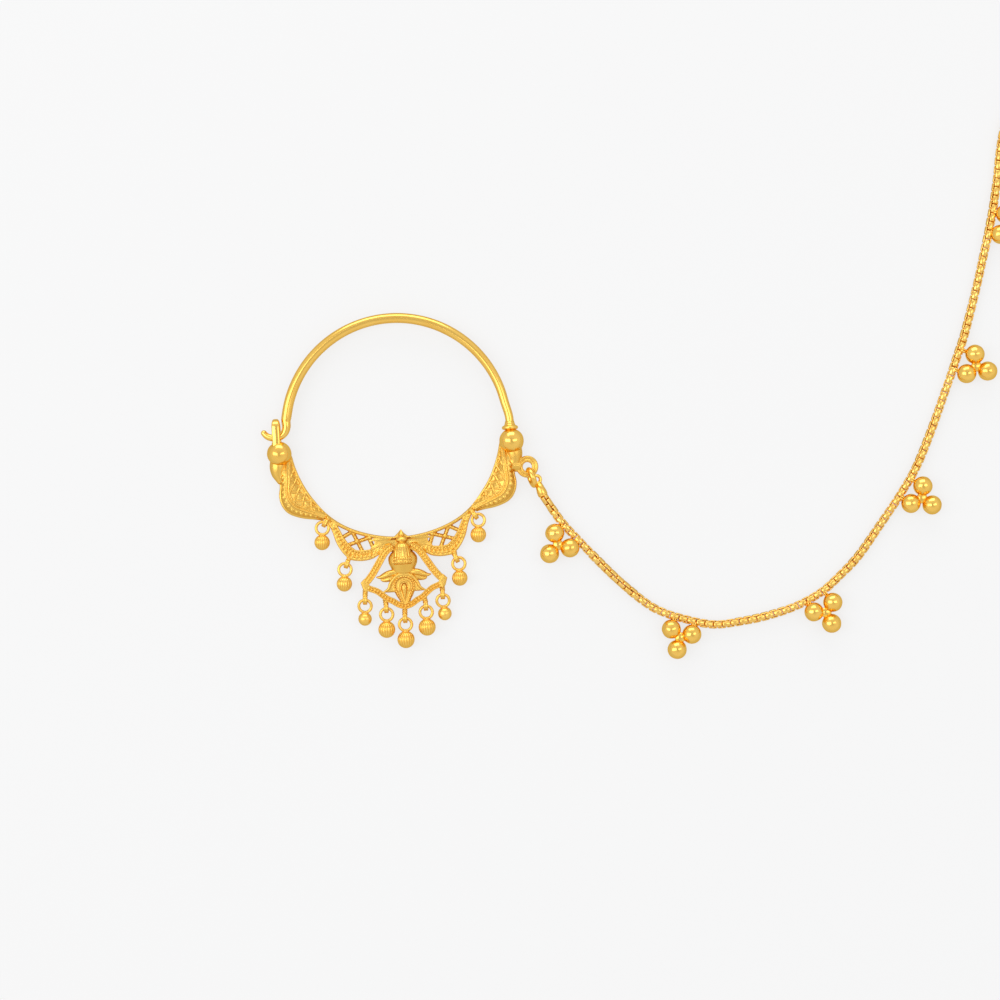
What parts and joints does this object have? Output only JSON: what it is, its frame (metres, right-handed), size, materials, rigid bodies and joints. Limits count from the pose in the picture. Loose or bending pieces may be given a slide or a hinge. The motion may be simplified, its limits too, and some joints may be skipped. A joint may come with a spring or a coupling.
{
  "type": "nose ring with hair chain",
  "caption": "Round gold nose ring with a hooked wire, pierced cast crescent, hanging pendant and ball drops, joined to a box chain with ball clusters that hooks into the hair.",
  "frame": {"origin": "middle of the crescent's flat back, under the pendant's dome", "axes": "+Z out of the decorated front, away from the surface that the ring lies on; +X to the right towards the hair chain; +Y towards the top of the hoop, which is turned a few degrees from it as the picture shows"},
  "size_m": [0.0993, 0.0761, 0.0029],
  "materials": {
    "polished_gold": "soft polished yellow gold",
    "cast_gold": "satin yellow gold, cast and granulated",
    "chain_gold": "bright yellow gold links"
  },
  "bodies": {
    "root": {"hoop_wire": "polished_gold", "catch_ball": "polished_gold", "end_ball": "polished_gold", "crescent": "cast_gold", "pendant": "cast_gold", "drop_1": "polished_gold", "drop_2": "polished_gold", "drop_3": "polished_gold", "drop_4": "polished_gold", "drop_5": "polished_gold", "drop_6": "polished_gold", "drop_7": "polished_gold", "drop_8": "polished_gold", "drop_9": "polished_gold", "chain": "chain_gold", "cluster_1": "polished_gold", "cluster_2": "polished_gold", "cluster_3": "polished_gold", "cluster_4": "polished_gold", "cluster_5": "polished_gold", "cluster_6": "polished_gold", "chain_ring": "polished_gold", "chain_end": "polished_gold", "far_end": "polished_gold", "hair_hook": "polished_gold"}
  },
  "joints": []
}
